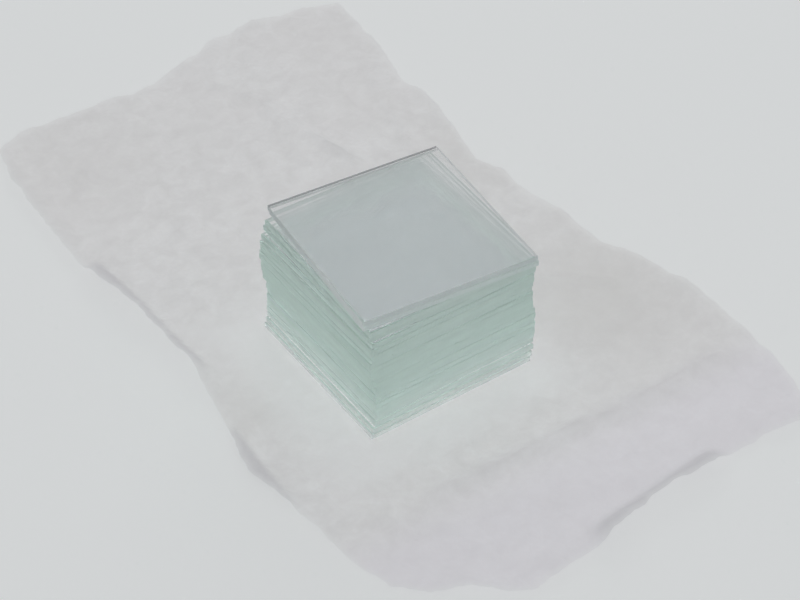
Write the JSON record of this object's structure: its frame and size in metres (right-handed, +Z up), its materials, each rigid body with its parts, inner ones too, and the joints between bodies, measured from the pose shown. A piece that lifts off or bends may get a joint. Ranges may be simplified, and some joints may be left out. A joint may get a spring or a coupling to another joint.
{
  "type": "stack of hemocytometer cover glasses",
  "caption": "Stack of loose square glass cover slips for a counting chamber, on a torn sheet of wrapping tissue; each slip lifts off the one below.",
  "frame": {"origin": "under the middle of the stack, on the surface that the tissue lies on", "axes": "+Z up; +Y along the long side of the tissue; X and Y along the sides of the stack"},
  "size_m": [0.06, 0.1005, 0.0165],
  "materials": {
    "glass": "clear polished faces with cut green-tinted edges",
    "tissue": "soft translucent white tissue, matt, fibrous, lightly creased"
  },
  "bodies": {
    "tissue": {"wrapping_tissue": "tissue"},
    "glass_01": {"cover_glass_01": "glass"},
    "glass_02": {"cover_glass_02": "glass"},
    "glass_03": {"cover_glass_03": "glass"},
    "glass_04": {"cover_glass_04": "glass"},
    "glass_05": {"cover_glass_05": "glass"},
    "glass_06": {"cover_glass_06": "glass"},
    "glass_07": {"cover_glass_07": "glass"},
    "glass_08": {"cover_glass_08": "glass"},
    "glass_09": {"cover_glass_09": "glass"},
    "glass_10": {"cover_glass_10": "glass"},
    "glass_11": {"cover_glass_11": "glass"},
    "glass_12": {"cover_glass_12": "glass"},
    "glass_13": {"cover_glass_13": "glass"},
    "glass_14": {"cover_glass_14": "glass"},
    "glass_15": {"cover_glass_15": "glass"},
    "glass_16": {"cover_glass_16": "glass"},
    "glass_17": {"cover_glass_17": "glass"},
    "glass_18": {"cover_glass_18": "glass"},
    "glass_19": {"cover_glass_19": "glass"},
    "glass_20": {"cover_glass_20": "glass"},
    "glass_21": {"cover_glass_21": "glass"},
    "glass_22": {"cover_glass_22": "glass"},
    "glass_23": {"cover_glass_23": "glass"},
    "glass_24": {"cover_glass_24": "glass"},
    "glass_25": {"cover_glass_25": "glass"}
  },
  "joints": [
    {"name": "lift_01", "type": "slide", "parent": "tissue", "child": "glass_01", "axis": [0, 0, 1], "range_m": [0, 0.005]},
    {"name": "lift_02", "type": "slide", "parent": "glass_01", "child": "glass_02", "axis": [0, 0, 1], "range_m": [0, 0.005]},
    {"name": "lift_03", "type": "slide", "parent": "glass_02", "child": "glass_03", "axis": [0, 0, 1], "range_m": [0, 0.005]},
    {"name": "lift_04", "type": "slide", "parent": "glass_03", "child": "glass_04", "axis": [0, 0, 1], "range_m": [0, 0.005]},
    {"name": "lift_05", "type": "slide", "parent": "glass_04", "child": "glass_05", "axis": [0, 0, 1], "range_m": [0, 0.005]},
    {"name": "lift_06", "type": "slide", "parent": "glass_05", "child": "glass_06", "axis": [0, 0, 1], "range_m": [0, 0.005]},
    {"name": "lift_07", "type": "slide", "parent": "glass_06", "child": "glass_07", "axis": [0, 0, 1], "range_m": [0, 0.005]},
    {"name": "lift_08", "type": "slide", "parent": "glass_07", "child": "glass_08", "axis": [0, 0, 1], "range_m": [0, 0.005]},
    {"name": "lift_09", "type": "slide", "parent": "glass_08", "child": "glass_09", "axis": [0, 0, 1], "range_m": [0, 0.005]},
    {"name": "lift_10", "type": "slide", "parent": "glass_09", "child": "glass_10", "axis": [0, 0, 1], "range_m": [0, 0.005]},
    {"name": "lift_11", "type": "slide", "parent": "glass_10", "child": "glass_11", "axis": [0, 0, 1], "range_m": [0, 0.005]},
    {"name": "lift_12", "type": "slide", "parent": "glass_11", "child": "glass_12", "axis": [0, 0, 1], "range_m": [0, 0.005]},
    {"name": "lift_13", "type": "slide", "parent": "glass_12", "child": "glass_13", "axis": [0, 0, 1], "range_m": [0, 0.005]},
    {"name": "lift_14", "type": "slide", "parent": "glass_13", "child": "glass_14", "axis": [0, 0, 1], "range_m": [0, 0.005]},
    {"name": "lift_15", "type": "slide", "parent": "glass_14", "child": "glass_15", "axis": [0, 0, 1], "range_m": [0, 0.005]},
    {"name": "lift_16", "type": "slide", "parent": "glass_15", "child": "glass_16", "axis": [0, 0, 1], "range_m": [0, 0.005]},
    {"name": "lift_17", "type": "slide", "parent": "glass_16", "child": "glass_17", "axis": [0, 0, 1], "range_m": [0, 0.005]},
    {"name": "lift_18", "type": "slide", "parent": "glass_17", "child": "glass_18", "axis": [0, 0, 1], "range_m": [0, 0.005]},
    {"name": "lift_19", "type": "slide", "parent": "glass_18", "child": "glass_19", "axis": [0, 0, 1], "range_m": [0, 0.005]},
    {"name": "lift_20", "type": "slide", "parent": "glass_19", "child": "glass_20", "axis": [0, 0, 1], "range_m": [0, 0.005]},
    {"name": "lift_21", "type": "slide", "parent": "glass_20", "child": "glass_21", "axis": [0, 0, 1], "range_m": [0, 0.005]},
    {"name": "lift_22", "type": "slide", "parent": "glass_21", "child": "glass_22", "axis": [0, 0, 1], "range_m": [0, 0.005]},
    {"name": "lift_23", "type": "slide", "parent": "glass_22", "child": "glass_23", "axis": [0, 0, 1], "range_m": [0, 0.005]},
    {"name": "lift_24", "type": "slide", "parent": "glass_23", "child": "glass_24", "axis": [0, 0, 1], "range_m": [0, 0.005]},
    {"name": "lift_25", "type": "slide", "parent": "glass_24", "child": "glass_25", "axis": [0, 0, 1], "range_m": [0, 0.005]}
  ]
}
